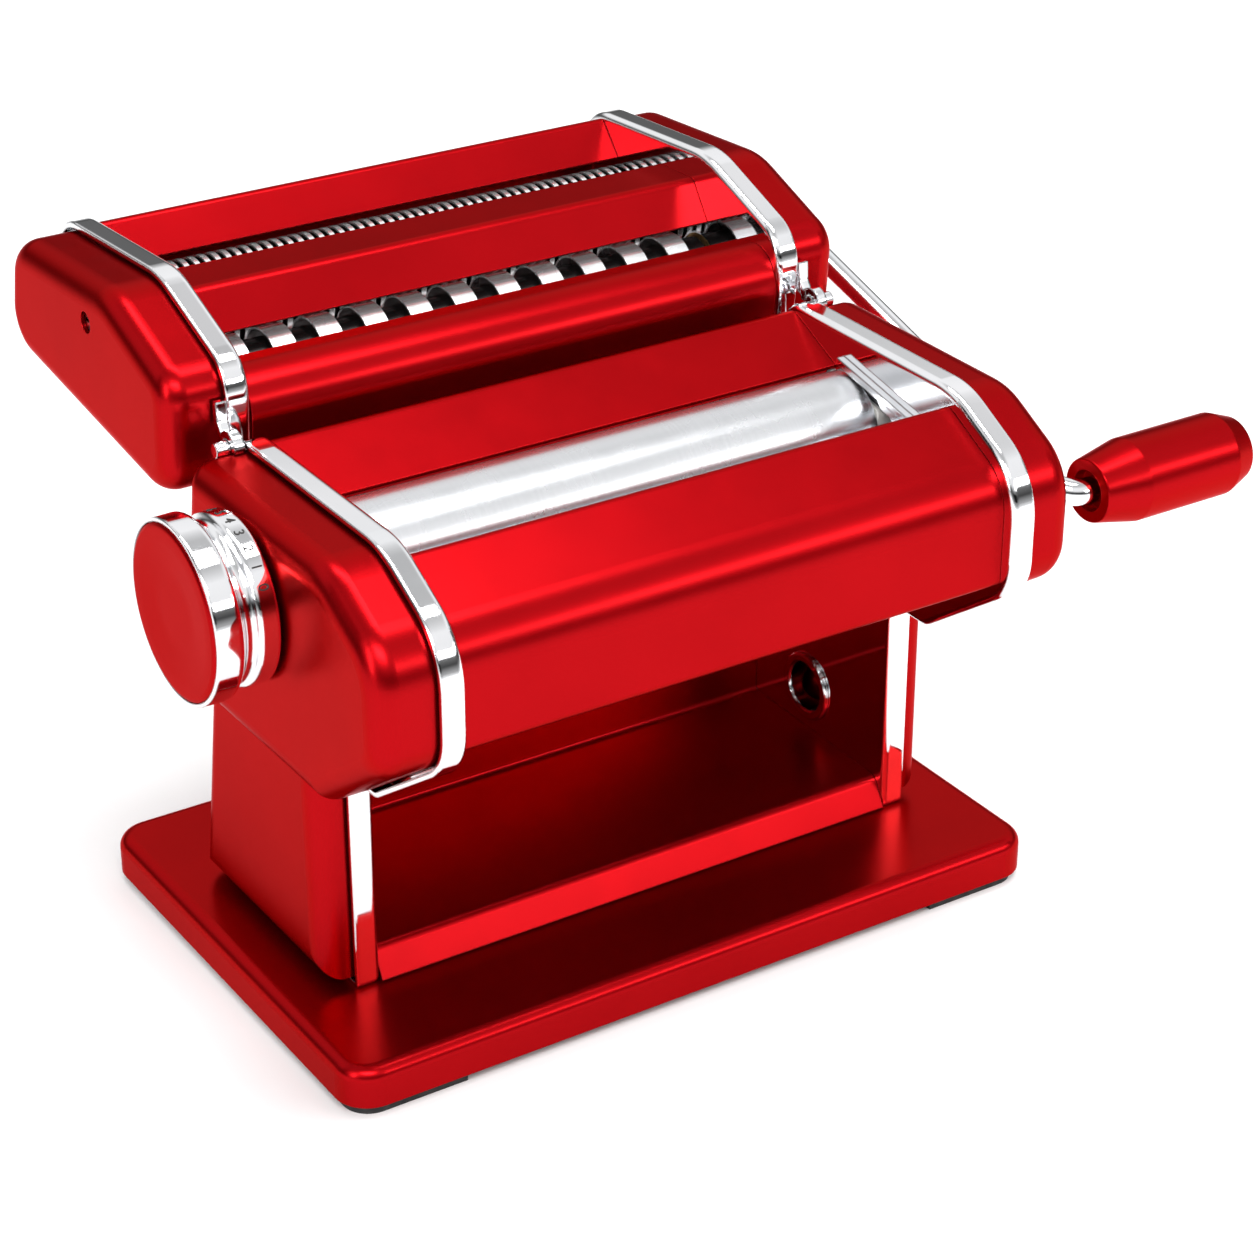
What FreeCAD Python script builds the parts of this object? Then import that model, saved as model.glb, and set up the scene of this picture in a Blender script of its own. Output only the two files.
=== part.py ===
import FreeCAD, Part
import math
import os

# A hand-cranked pasta machine: a pair of smooth rollers with a thickness knob, and a
# cutter head with a wide and a narrow pair of cutters that hangs on the back of it.
# +X runs along the rollers towards the crank, -Y is the side the hood slopes to, +Z is up.
# The origin is on the table, under the middle of the whole machine.

doc = FreeCAD.newDocument("pasta_machine")
sheet = doc.addObject("Spreadsheet::Sheet", "Sizes")

DRIVING_SIZES = {
    # how wide the machine is inside: everything along X is placed from this
    "roller_width": 150.0,
    "roller_end_gap": 1.0,
    # side frames: a flat plate with a rim turned outwards
    "plate_wall": 1.2,
    "rim_wall": 1.5,
    "rim_reach": 6.5,
    "rim_edge_round": 0.5,
    # outline of a side frame
    "body_top": 142.0,
    "body_front": -82.0,
    "body_rear_top": 14.0,
    "hood_break": -55.0,
    "nose_height": 127.7,
    "chin_height": 97.0,
    "belly_front": -49.0,
    "belly_height": 74.0,
    "leg_front": -35.5,
    "leg_rear": 37.0,
    # base
    "base_overhang": 25.5,
    "base_depth": 135.0,
    "base_top": 13.5,
    "base_wall": 2.0,
    "base_corner": 9.0,
    "base_edge_round": 3.5,
    "foot_height": 3.0,
    "foot_length": 30.0,
    "foot_depth": 22.0,
    # covers, measured outwards from the frames' inner faces
    "cover_seat_step": 2.5,
    "cover_inset": 2.5,
    "cover_wall": 1.6,
    "cover_round": 6.4,
    "body_cover_reach": 21.5,
    "leg_cover_reach": 14.5,
    "head_cover_reach": 21.5,
    # sheet-metal panels between the side frames
    "panel_wall": 1.2,
    "panel_inset": 4.0,
    "panel_fit": 0.1,
    # rollers
    "roller_radius": 14.0,
    "gap_open": 4.8,
    "gap_closed": 0.5,
    "rear_roller_y": -14.9,
    "rear_roller_z": 118.0,
    "roller_tilt": 11.0,
    "journal_radius": 7.0,
    "hub_radius": 9.0,
    "hub_bore": 8.2,
    "bush_wall": 2.5,
    "running_fit": 0.05,
    "sliding_fit": 0.25,
    # roller gears
    "gear_step": 6.5,
    "gear_width": 7.5,
    "roller_teeth": 12.0,
    "roller_tooth_width": 2.4,
    # adjuster and knob
    "adjuster_radius": 4.0,
    "adjuster_swing": 120.0,
    "lobe_radius": 5.4,
    "knob_radius": 22.4,
    "collar_radius": 20.8,
    "knob_gap": 0.8,
    "knob_length": 17.4,
    "knob_pull": 4.0,
    # cutter head
    "head_top": 170.4,
    "head_front": 17.3,
    "head_rear": 120.0,
    "wide_y": 45.3,
    "wide_z": 139.2,
    "wide_radius": 9.9,
    "wide_spacing": 18.2,
    "wide_strip": 6.5,
    "narrow_y": 85.6,
    "narrow_z": 145.0,
    "narrow_radius": 9.6,
    "narrow_spacing": 17.9,
    "narrow_strip": 1.5,
    "cutter_depth": 2.5,
    "cutter_journal": 6.2,
    "sleeve_wall": 1.05,
    "socket_depth": 14.0,
    "cutter_teeth": 10.0,
    "cutter_tooth_width": 2.3,
    # crank
    "crank_rod": 3.5,
    "crank_gap": 12.5,
    "crank_bend": 8.0,
    "crank_reach": 119.2,
    "crank_angle": 196.2,
    "grip_step": 8.0,
    "grip_length": 49.0,
    "grip_radius": 11.0,
    "grip_small_radius": 8.4,
    # table clamp socket
    "clamp_y": -0.3,
    "clamp_z": 34.6,
    "clamp_radius": 6.8,
    "clamp_flange": 9.8,
    "clamp_depth": 11.0,
}

rows_used = 0


def add_size(name, value):
    """Put one size in the sheet, under its name."""
    global rows_used
    rows_used += 1
    sheet.set("A%d" % rows_used, name)
    sheet.set("B%d" % rows_used, str(value))
    sheet.setAlias("B%d" % rows_used, name)
    doc.recompute()


def size(name):
    """The value of one size in the sheet."""
    return float(sheet.get(name))


for size_name, value in DRIVING_SIZES.items():
    add_size(size_name, value)

# places along X that follow from the driving sizes
add_size("roller_half", size("roller_width") / 2)
add_size("cutter_half", size("roller_width") / 2)
add_size("plate_inner", size("roller_half") + size("roller_end_gap"))
add_size("cover_seat", size("plate_inner") + size("cover_seat_step"))
add_size("body_cover_out", size("plate_inner") + size("body_cover_reach"))
add_size("leg_cover_out", size("plate_inner") + size("leg_cover_reach"))
add_size("head_cover_out", size("plate_inner") + size("head_cover_reach"))
add_size("base_length", 2 * (size("plate_inner") + size("base_overhang")))
add_size("gear_start", size("plate_inner") + size("gear_step"))
add_size("knob_inner_end", -(size("body_cover_out") + size("knob_gap")))
add_size("socket_radius", size("crank_rod") + size("sleeve_wall") + size("running_fit"))
add_size("crank_plane", size("head_cover_out") + size("crank_gap"))
add_size("grip_start", size("crank_plane") + size("grip_step"))


# ---------------------------------------------------------------- worked-out places

CENTRE_DISTANCE_OPEN = 2 * size("roller_radius") + size("gap_open")
CENTRE_DISTANCE_CLOSED = 2 * size("roller_radius") + size("gap_closed")
TRAVEL = size("gap_open") - size("gap_closed")
TILT = math.radians(size("roller_tilt"))
PAIR_Y = -math.cos(TILT)
PAIR_Z = -math.sin(TILT)
REAR_ROLLER = (size("rear_roller_y"), size("rear_roller_z"))
FRONT_ROLLER = (
    REAR_ROLLER[0] + CENTRE_DISTANCE_OPEN * PAIR_Y,
    REAR_ROLLER[1] + CENTRE_DISTANCE_OPEN * PAIR_Z,
)
ADJUSTER = (
    REAR_ROLLER[0] + TRAVEL / 2 * PAIR_Y,
    REAR_ROLLER[1] + TRAVEL / 2 * PAIR_Z,
)
WIDE_FRONT = (size("wide_y") - size("wide_spacing") / 2, size("wide_z"))
WIDE_REAR = (size("wide_y") + size("wide_spacing") / 2, size("wide_z"))
NARROW_FRONT = (size("narrow_y") - size("narrow_spacing") / 2, size("narrow_z"))
NARROW_REAR = (size("narrow_y") + size("narrow_spacing") / 2, size("narrow_z"))
KNOB_OUTER_END = size("knob_inner_end") - size("knob_length")
GRIP_END = size("grip_start") + size("grip_length")
MIDDLE_X = (KNOB_OUTER_END + GRIP_END) / 2
MIDDLE_Y = (size("body_front") + size("head_rear")) / 2


# ---------------------------------------------------------------- outline helpers
# An outline is a list of corners (across, up, corner radius).


def crossing(point, heading, other_point, other_heading):
    """Where two lines in the plane cross."""
    scale = heading[0] * other_heading[1] - heading[1] * other_heading[0]
    gap = (other_point[0] - point[0], other_point[1] - point[1])
    along = (gap[0] * other_heading[1] - gap[1] * other_heading[0]) / scale
    return (point[0] + along * heading[0], point[1] + along * heading[1])


def heading(start, end):
    """Unit direction from one corner to the next."""
    length = math.hypot(end[0] - start[0], end[1] - start[1])
    return ((end[0] - start[0]) / length, (end[1] - start[1]) / length)


def shifted_edge(start, end, distance):
    """A point and direction of the edge moved to its left by distance."""
    along = heading(start, end)
    return (start[0] - along[1] * distance, start[1] + along[0] * distance), along


def shifted_corner(before, corner, after, distance):
    """A corner of an outline whose edges all move to their left by distance."""
    point, first = shifted_edge(before, corner, distance)
    other_point, second = shifted_edge(corner, after, distance)
    turn = first[0] * second[1] - first[1] * second[0]
    across, up = crossing(point, first, other_point, second)
    radius = corner[2]
    if radius > 0:
        radius = max(radius - math.copysign(distance, distance * turn), 0)
    return (across, up, radius)


def inset(corners, distance):
    """A closed outline moved inwards all round."""
    area = 0
    for here, after in zip(corners, corners[1:] + corners[:1]):
        area += here[0] * after[1] - here[1] * after[0]
    inward = distance if area > 0 else -distance
    moved = []
    for index, corner in enumerate(corners):
        before = corners[index - 1]
        after = corners[(index + 1) % len(corners)]
        moved.append(shifted_corner(before, corner, after, inward))
    return moved


def bent_sheet(path, wall):
    """The closed outline of a bent sheet: an open path and the same path moved to its left."""
    first_point, _ = shifted_edge(path[0], path[1], wall)
    last_point, along = shifted_edge(path[-2], path[-1], wall)
    length = math.hypot(path[-1][0] - path[-2][0], path[-1][1] - path[-2][1])
    back = [(last_point[0] + along[0] * length, last_point[1] + along[1] * length, 0)]
    for index in range(len(path) - 2, 0, -1):
        back.append(shifted_corner(path[index - 1], path[index], path[index + 1], wall))
    back.append((first_point[0], first_point[1], 0))
    return list(path) + back


def draw_outline(sketch, corners):
    """Draw a closed outline: straight edges with a tangent arc at each rounded corner."""
    ends = []
    for index, corner in enumerate(corners):
        point = FreeCAD.Vector(corner[0], corner[1], 0)
        before = corners[index - 1]
        after = corners[(index + 1) % len(corners)]
        arriving = heading(before, corner)
        leaving = heading(corner, after)
        cosine = max(-1, min(1, arriving[0] * leaving[0] + arriving[1] * leaving[1]))
        turn = math.acos(cosine)
        if corner[2] <= 0 or turn < 0.001:
            ends.append((point, point))
            continue
        reach = corner[2] * math.tan(turn / 2)
        into = FreeCAD.Vector(arriving[0], arriving[1], 0)
        out = FreeCAD.Vector(leaving[0], leaving[1], 0)
        start = point - into * reach
        end = point + out * reach
        centre_way = (out - into).normalize()
        middle = point + centre_way * (corner[2] / math.cos(turn / 2) - corner[2])
        sketch.addGeometry(Part.Arc(start, middle, end), False)
        ends.append((start, end))
    for index in range(len(corners)):
        start = ends[index - 1][1]
        end = ends[index][0]
        if start.distanceToPoint(end) > 0.0001:
            sketch.addGeometry(Part.LineSegment(start, end), False)


def draw_circle(sketch, centre, radius):
    point = FreeCAD.Vector(centre[0], centre[1], 0)
    sketch.addGeometry(Part.Circle(point, FreeCAD.Vector(0, 0, 1), radius), False)


# ---------------------------------------------------------------- part helpers

RIGHT = 1
LEFT = -1
SIDE_NAMES = {RIGHT: "right", LEFT: "left"}
parts = []


def new_body(label):
    """A PartDesign body that is exported under its label."""
    body = doc.addObject("PartDesign::Body", label)
    body.Label = label
    parts.append(body)
    return body


def new_sketch(body, role, offset=None):
    """A sketch on one of the body's own origin planes, moved along its normal by offset."""
    sketch = body.newObject("Sketcher::SketchObject", body.Label + "_sketch")
    plane = [item for item in body.Origin.OriginFeatures if item.Role == role][0]
    sketch.AttachmentSupport = [(plane, "")]
    sketch.MapMode = "FlatFace"
    if offset is not None:
        sketch.setExpression("AttachmentOffset.Base.z", offset)
    return sketch


def pad(body, sketch, length, way=RIGHT):
    """Add the sketch's area, along the sketch's normal when way is RIGHT."""
    feature = body.newObject("PartDesign::Pad", body.Label + "_pad")
    feature.Profile = sketch
    feature.setExpression("Length", length)
    feature.Reversed = way == LEFT
    doc.recompute()
    return feature


def pocket(body, sketch, length, way=RIGHT):
    """Cut the sketch's area, along the sketch's normal when way is RIGHT."""
    before = body.Shape.Volume
    feature = body.newObject("PartDesign::Pocket", body.Label + "_pocket")
    feature.Profile = sketch
    feature.setExpression("Length", length)
    feature.Reversed = way == RIGHT
    doc.recompute()
    if not body.Shape.Volume < before:
        raise RuntimeError(body.Label + ": a pocket cut nothing")
    return feature


def round_edges(body, radius, wanted):
    """Fillet the edges for which wanted(edge) is true."""
    base = body.Tip
    names = []
    for number, edge in enumerate(base.Shape.Edges, start=1):
        if wanted(edge):
            names.append("Edge%d" % number)
    feature = body.newObject("PartDesign::Fillet", body.Label + "_fillet")
    feature.Base = (base, names)
    feature.setExpression("Radius", radius)
    doc.recompute()
    return feature


def lies_at_x(edge, across):
    return all(abs(vertex.X - across) < 0.001 for vertex in edge.Vertexes)


def plate_of(label, corners, start, length, side=RIGHT, holes=()):
    """A flat or bent piece with one outline in the YZ plane, thick along X."""
    body = new_body(label)
    sketch = new_sketch(body, "YZ_Plane", start)
    draw_outline(sketch, corners)
    for centre, radius in holes:
        draw_circle(sketch, centre, radius)
    pad(body, sketch, length, side)
    return body


def turned(label, profile, centre):
    """A piece turned about an axis along X: profile is (along X, radius) corners."""
    body = new_body(label)
    sketch = new_sketch(body, "XY_Plane")
    draw_outline(sketch, profile)
    feature = body.newObject("PartDesign::Revolution", label + "_turning")
    feature.Profile = sketch
    feature.ReferenceAxis = (sketch, ["H_Axis"])
    feature.Angle = 360
    body.Placement.Base = FreeCAD.Vector(0, centre[0], centre[1])
    doc.recompute()
    return body


def ring_profile(start, end, inner, outer):
    return [(start, inner, 0), (end, inner, 0), (end, outer, 0), (start, outer, 0)]


def group(label, members):
    """Several like solids that share one node."""
    compound = doc.addObject("Part::Compound", label)
    compound.Label = label
    compound.Links = members
    parts.append(compound)
    return compound


def rod_along_x(name, start, length, centre, radius):
    """A plain round bar along X; length and radius are expressions on the sheet."""
    rod = doc.addObject("Part::Cylinder", name)
    rod.setExpression("Radius", radius)
    rod.setExpression("Height", length)
    turn = FreeCAD.Rotation(FreeCAD.Vector(0, 1, 0), 90)
    rod.Placement = FreeCAD.Placement(FreeCAD.Vector(start, centre[0], centre[1]), turn)
    return rod


def cut(name, base, tool):
    result = doc.addObject("Part::Cut", name)
    result.Base = base
    result.Tool = tool
    return result


# ---------------------------------------------------------------- outlines of the frames

REAR_SLOPE = (size("body_rear_top") - size("leg_rear")) / (size("body_top") - size("base_top"))


def rear_edge_at(height):
    """How far back the body's leaning rear edge is at a height."""
    return size("leg_rear") + (height - size("base_top")) * REAR_SLOPE


BODY_OUTLINE = [
    (size("body_rear_top"), size("body_top"), 6.0),
    (size("hood_break"), size("body_top"), 24.0),
    (size("body_front"), size("nose_height"), 20.0),
    (size("body_front"), size("chin_height"), 15.0),
    (size("belly_front"), size("belly_height"), 6.0),
    (size("leg_front"), size("belly_height"), 4.0),
    (size("leg_front"), size("base_top"), 1.5),
    (size("leg_rear"), size("base_top"), 1.5),
]
BULGE_OUTLINE = BODY_OUTLINE[:5] + [
    (rear_edge_at(size("belly_height")), size("belly_height"), 6.0),
]
HEAD_OUTLINE = [
    (size("head_rear") - 8.0, size("head_top") - 3.4, 14.0),
    (53.0, size("head_top"), 26.0),
    (size("head_front"), size("head_top") - 13.5, 12.0),
    (size("head_front") + 2.7, 119.5, 14.0),
    (size("head_rear"), 132.5, 15.0),
]

BODY_RODS = [(-67.0, 104.0), (6.0, 88.0)]
REAR_RAIL = (29.0, 30.0)
HEAD_RODS = [(63.5, 157.0), (101.5, 157.5)]
BRACKET_POSTS = [(5.2, 126.6), (-6.0, 97.0)]
BASE_SCREWS_Y = [-20.0, 22.0]
BASE_SCREW_X = size("plate_inner") + 3.8
ROD_RADIUS = 2.5
ROD_END_RADIUS = 2.0
HOLE_FIT = 0.05
BLOCK_ALONG = 11.5
BLOCK_UP = 10.3
BLOCK_DOWN = 18.0


def on_pair_line(along, up):
    """A point near the rear roller: along towards the front roller, up square to that."""
    return (
        REAR_ROLLER[0] + along * PAIR_Y + up * PAIR_Z,
        REAR_ROLLER[1] + along * PAIR_Z - up * PAIR_Y,
    )


def block_outline(back, front, down, up, radius):
    corners = [(-back, -down), (front, -down), (front, up), (-back, up)]
    return [on_pair_line(along, high) + (radius,) for along, high in corners]


INDEX_PIN_RADIUS = 1.2
INDEX_CIRCLE = 14.0
INDEX_PIN = (ADJUSTER[0], ADJUSTER[1] - INDEX_CIRCLE)


# ---------------------------------------------------------------- side frames


def side_frame(side):
    label = SIDE_NAMES[side] + "_side_frame"
    face = side * size("plate_inner")
    edge = side * (size("plate_inner") + size("rim_reach"))
    sign = "" if side == RIGHT else "-"
    body = new_body(label)
    sketch = new_sketch(body, "YZ_Plane", sign + "Sizes.plate_inner")
    draw_outline(sketch, BODY_OUTLINE)
    pad(body, sketch, "Sizes.rim_reach", side)
    round_edges(body, "Sizes.plate_wall + Sizes.rim_edge_round", lambda e: lies_at_x(e, face))
    round_edges(body, "Sizes.rim_edge_round", lambda e: lies_at_x(e, edge))
    sketch = new_sketch(body, "YZ_Plane", sign + "(Sizes.plate_inner + Sizes.rim_reach)")
    draw_outline(sketch, inset(BODY_OUTLINE, size("rim_wall")))
    pocket(body, sketch, "Sizes.rim_reach - Sizes.plate_wall", -side)
    sketch = new_sketch(body, "YZ_Plane", sign + "Sizes.plate_inner")
    for centre in BODY_RODS + [REAR_RAIL]:
        draw_circle(sketch, centre, ROD_END_RADIUS + HOLE_FIT)
    for centre in BRACKET_POSTS:
        draw_circle(sketch, centre, ROD_END_RADIUS + HOLE_FIT)
    bush_outer = size("journal_radius") + size("bush_wall")
    draw_circle(sketch, FRONT_ROLLER, bush_outer)
    gap = size("sliding_fit")
    window = block_outline(
        BLOCK_ALONG + gap, BLOCK_ALONG + TRAVEL + gap, BLOCK_DOWN + gap, BLOCK_UP + gap, 2.0
    )
    draw_outline(sketch, window)
    if side == RIGHT:
        draw_circle(sketch, (size("clamp_y"), size("clamp_z")), size("clamp_radius") + 1.4)
    pocket(body, sketch, "2 * Sizes.plate_wall", side)
    sketch = new_sketch(body, "XY_Plane", "Sizes.base_top")
    for across in BASE_SCREWS_Y:
        draw_circle(sketch, (side * BASE_SCREW_X, across), ROD_END_RADIUS + HOLE_FIT)
    pocket(body, sketch, "2 * Sizes.rim_wall", RIGHT)
    return body


# ---------------------------------------------------------------- covers


def hollow(body, outline, seat, reach):
    """Hollow a cover from its seat: full width first, then narrower behind the rounded edge."""
    sketch = new_sketch(body, "YZ_Plane", seat)
    draw_outline(sketch, inset(outline, size("cover_wall")))
    side = LEFT if seat.startswith("-") else RIGHT
    pocket(body, sketch, reach + " - Sizes.cover_seat - Sizes.cover_round", side)
    sketch = new_sketch(body, "YZ_Plane", seat)
    narrower = size("cover_wall") + ROUND_SHARE * size("cover_round")
    draw_outline(sketch, inset(outline, narrower))
    pocket(body, sketch, reach + " - Sizes.cover_seat - Sizes.cover_wall", side)


# how far the narrow part of a cavity steps in, as a share of the cover's edge radius
ROUND_SHARE = 0.45


def side_cover(side):
    label = SIDE_NAMES[side] + "_side_cover"
    sign = "" if side == RIGHT else "-"
    seat = sign + "Sizes.cover_seat"
    leg = inset(BODY_OUTLINE, size("cover_inset"))
    bulge = inset(BULGE_OUTLINE, size("cover_inset"))
    body = new_body(label)
    sketch = new_sketch(body, "YZ_Plane", seat)
    draw_outline(sketch, leg)
    pad(body, sketch, "Sizes.leg_cover_out - Sizes.cover_seat", side)
    leg_face = side * size("leg_cover_out")
    round_edges(body, "Sizes.cover_round", lambda e: lies_at_x(e, leg_face))
    sketch = new_sketch(body, "YZ_Plane", seat)
    draw_outline(sketch, bulge)
    pad(body, sketch, "Sizes.body_cover_out - Sizes.cover_seat", side)
    bulge_face = side * size("body_cover_out")
    round_edges(body, "Sizes.cover_round", lambda e: lies_at_x(e, bulge_face))
    hollow(body, leg, seat, "Sizes.leg_cover_out")
    hollow(body, bulge, seat, "Sizes.body_cover_out")
    sketch = new_sketch(body, "YZ_Plane", sign + "Sizes.body_cover_out")
    if side == RIGHT:
        draw_circle(sketch, FRONT_ROLLER, size("journal_radius") + 1.5)
    else:
        draw_circle(sketch, ADJUSTER, size("adjuster_radius") + 1.5)
        draw_circle(sketch, INDEX_PIN, INDEX_PIN_RADIUS)
    pocket(body, sketch, "2 * Sizes.cover_wall", -side)
    return body


def base_plate():
    half_length = size("base_length") / 2
    half_depth = size("base_depth") / 2
    corner = size("base_corner")
    wall = size("base_wall")
    outline = [
        (-half_length, -half_depth, corner),
        (half_length, -half_depth, corner),
        (half_length, half_depth, corner),
        (-half_length, half_depth, corner),
    ]
    body = new_body("base_plate")
    sketch = new_sketch(body, "XY_Plane", "Sizes.foot_height")
    draw_outline(sketch, outline)
    pad(body, sketch, "Sizes.base_top - Sizes.foot_height")
    top = size("base_top")

    def on_top(edge):
        return all(abs(vertex.Z - top) < 0.001 for vertex in edge.Vertexes)

    round_edges(body, "Sizes.base_edge_round", on_top)
    sketch = new_sketch(body, "XY_Plane", "Sizes.foot_height")
    draw_outline(sketch, inset(outline, wall))
    pocket(body, sketch, "Sizes.base_top - Sizes.foot_height - Sizes.base_wall")
    sketch = new_sketch(body, "XY_Plane", "Sizes.base_top")
    for side in (LEFT, RIGHT):
        for across in BASE_SCREWS_Y:
            draw_circle(sketch, (side * BASE_SCREW_X, across), ROD_END_RADIUS + HOLE_FIT)
    pocket(body, sketch, "2 * Sizes.base_wall", LEFT)


def rubber_feet():
    """Four pads that fill the corners of the base from below."""
    feet = []
    wall = size("base_wall")
    length = size("foot_length")
    depth = size("foot_depth")
    for across in (LEFT, RIGHT):
        for back in (LEFT, RIGHT):
            block = doc.addObject("Part::Box", "foot_block")
            block.setExpression("Length", "Sizes.foot_length")
            block.setExpression("Width", "Sizes.foot_depth")
            block.setExpression("Height", "Sizes.base_top - Sizes.base_wall")
            corner_x = across * (size("base_length") / 2 - wall)
            corner_y = back * (size("base_depth") / 2 - wall)
            block.Placement.Base = FreeCAD.Vector(
                min(corner_x, corner_x - across * length), min(corner_y, corner_y - back * depth), 0
            )
            doc.recompute()
            rounded = doc.addObject("Part::Fillet", "foot")
            rounded.Base = block
            radius = size("base_corner") - wall
            chosen = []
            for number, edge in enumerate(block.Shape.Edges, start=1):
                middle = edge.CenterOfMass
                upright = abs(edge.tangentAt(edge.FirstParameter).z) > 0.9
                at_corner = abs(middle.x - corner_x) < 0.001 and abs(middle.y - corner_y) < 0.001
                if upright and at_corner:
                    chosen.append((number, radius, radius))
            rounded.Edges = chosen
            feet.append(rounded)
    group("rubber_feet", feet)


# ---------------------------------------------------------------- panels of the body

PANEL_START = "-(Sizes.plate_inner - Sizes.panel_fit)"
PANEL_LENGTH = "2 * (Sizes.plate_inner - Sizes.panel_fit)"
HOOD_BOTTOM = 98.0
RIDGE_INSET = 0.7
WALL_INSET = 1.6


def panel(label, path):
    return plate_of(label, bent_sheet(path, size("panel_wall")), PANEL_START, PANEL_LENGTH)


def front_hood():
    """From a lip above the front roller, down the sloping panel and the nose."""
    shell = inset(BODY_OUTLINE, size("panel_inset"))
    lip = shell[1]
    nose = shell[2]
    panel("front_hood", [
        (lip[0] + 2.2, lip[1] - 6.5, 0),
        (lip[0], lip[1], 1.8),
        (nose[0], nose[1], 14.0),
        (nose[0], HOOD_BOTTOM, 2.5),
        (nose[0] + 7.0, HOOD_BOTTOM - 1.5, 0),
    ])


def rear_hood():
    """From just above the rear roller, up to the ridge and down the leaning back."""
    back = size("body_rear_top") - WALL_INSET
    top = size("body_top") - RIDGE_INSET
    panel("rear_hood", [
        (rear_edge_at(71.5) - WALL_INSET, 71.5, 0),
        (back, top, 2.5),
        (back - 20.6, top - 9.6, 0),
    ])


def floor_panel():
    """A lip at the front, the floor between the legs, and the wall behind it."""
    panel("floor_panel", [
        (size("leg_front") + 0.5, size("base_top"), 0),
        (size("leg_front") + 4.6, size("base_top") + 7.0, 1.6),
        (25.0, size("base_top") + 8.0, 2.5),
        (23.2, 70.5, 0),
    ])


def rods(label, places, end_length):
    """Rods between the side frames, with thinner ends that pass through the frames."""
    members = []
    for place in places:
        start = -size("plate_inner")
        body = rod_along_x("rod", start, "2 * Sizes.plate_inner", place, str(ROD_RADIUS))
        reach = size("plate_inner") + end_length
        ends = rod_along_x("rod_ends", -reach, str(2 * reach), place, str(ROD_END_RADIUS))
        joined = doc.addObject("Part::Fuse", "tie_rod")
        joined.Base = body
        joined.Tool = ends
        members.append(joined)
    return group(label, members)


ROD_END = 6.5
NUT_HEIGHT = 3.2
NUT_FLATS = 4.2


def nuts(label, places):
    """Hexagon nuts on both ends of each rod."""
    members = []
    for place in places:
        for side in (LEFT, RIGHT):
            prism = doc.addObject("Part::Prism", "nut_body")
            prism.Polygon = 6
            prism.Circumradius = NUT_FLATS
            prism.Height = NUT_HEIGHT
            start = size("plate_inner") + size("plate_wall")
            low = start if side == RIGHT else -start - NUT_HEIGHT
            turn = FreeCAD.Rotation(FreeCAD.Vector(0, 1, 0), 90)
            prism.Placement = FreeCAD.Placement(FreeCAD.Vector(low, place[0], place[1]), turn)
            bore = rod_along_x("nut_bore", low - 1, str(NUT_HEIGHT + 2), place,
                               str(ROD_END_RADIUS + HOLE_FIT))
            members.append(cut("nut", prism, bore))
    return group(label, members)


def ring_group(label, spots, inner, outer, start, end):
    """Plain rings on both side frames at each of the spots."""
    members = []
    for spot in spots:
        for side in (LEFT, RIGHT):
            low = start if side == RIGHT else -end
            tube = rod_along_x("ring_outer", low, str(end - start), spot, str(outer))
            bore = rod_along_x("ring_bore", low - 1, str(end - start + 2), spot, str(inner))
            members.append(cut("ring", tube, bore))
    return group(label, members)


def clamp_socket():
    inner = size("clamp_radius")
    flange = size("clamp_flange")
    start = size("plate_inner")
    turned("clamp_socket", [
        (start - 1.2, inner + 0.6, 0),
        (start - 1.2, flange - 0.6, 0),
        (start - 0.6, flange, 0),
        (start, flange, 0),
        (start, inner + 1.4, 0),
        (start + size("clamp_depth"), inner + 1.4, 0),
        (start + size("clamp_depth"), inner, 0),
        (start - 0.6, inner, 0),
    ], (size("clamp_y"), size("clamp_z")))


def base_screws():
    """Screws up through the base into the turned-out foot of each side frame."""
    members = []
    head_top = size("base_top") - size("base_wall")
    for side in (LEFT, RIGHT):
        for across in BASE_SCREWS_Y:
            shank = doc.addObject("Part::Cylinder", "screw_shank")
            shank.Radius = ROD_END_RADIUS
            shank.Height = size("base_wall") + size("rim_wall") + 0.8
            shank.Placement.Base = FreeCAD.Vector(side * BASE_SCREW_X, across, head_top)
            head = doc.addObject("Part::Cylinder", "screw_head")
            head.Radius = 2 * ROD_END_RADIUS - 0.4
            head.Height = 2.2
            head.Placement.Base = FreeCAD.Vector(side * BASE_SCREW_X, across, head_top - 2.2)
            joined = doc.addObject("Part::Fuse", "base_screw")
            joined.Base = shank
            joined.Tool = head
            members.append(joined)
    group("base_screws", members)


GUARD_HEIGHT = 2.0
GUARD_WIDTH = 2.2
GUARD_LENGTH = 33.0
GUARD_FRONT_END = 26.5


def roller_guards():
    """Two bars that keep the dough off the ends of the rollers."""
    members = []
    lift = size("roller_radius") + 0.5
    turn = FreeCAD.Rotation(FreeCAD.Vector(1, 0, 0), size("roller_tilt"))
    for side in (LEFT, RIGHT):
        bar = doc.addObject("Part::Box", "guard")
        bar.Length = GUARD_WIDTH
        bar.Width = GUARD_LENGTH
        bar.Height = GUARD_HEIGHT
        across = size("plate_inner") - GUARD_WIDTH if side == RIGHT else -size("plate_inner")
        end = on_pair_line(GUARD_FRONT_END, lift)
        bar.Placement = FreeCAD.Placement(FreeCAD.Vector(across, end[0], end[1]), turn)
        members.append(bar)
    group("roller_guards", members)


SCRAPER_WALL = 1.0
SCRAPER_GAP = 0.35


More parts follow.
